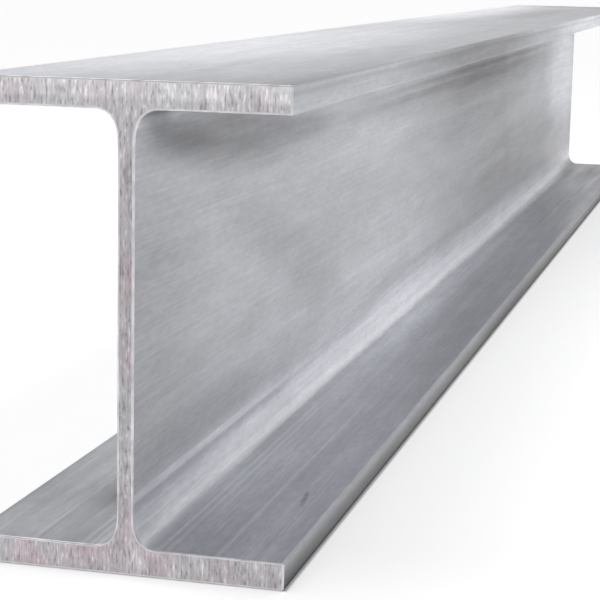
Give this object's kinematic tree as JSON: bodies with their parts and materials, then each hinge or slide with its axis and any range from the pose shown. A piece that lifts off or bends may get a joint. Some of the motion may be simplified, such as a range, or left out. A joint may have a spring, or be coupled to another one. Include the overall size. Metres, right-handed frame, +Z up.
{
  "type": "h-beam",
  "caption": "Straight aluminium H-beam with wide parallel flanges, a thin central web, filleted roots and square sawn ends, for framing and supports.",
  "frame": {"origin": "middle of the bar's length and width, on the underside of the bottom flange", "axes": "+Z up through the web to the top flange, +Y along the length, +X across the flanges"},
  "size_m": [0.1016, 1.2192, 0.1524],
  "materials": {
    "mill_aluminium": "mill finish as extruded, satin grey with die lines along the length and sawn ends"
  },
  "bodies": {
    "root": {"h_beam": "mill_aluminium"}
  },
  "joints": []
}
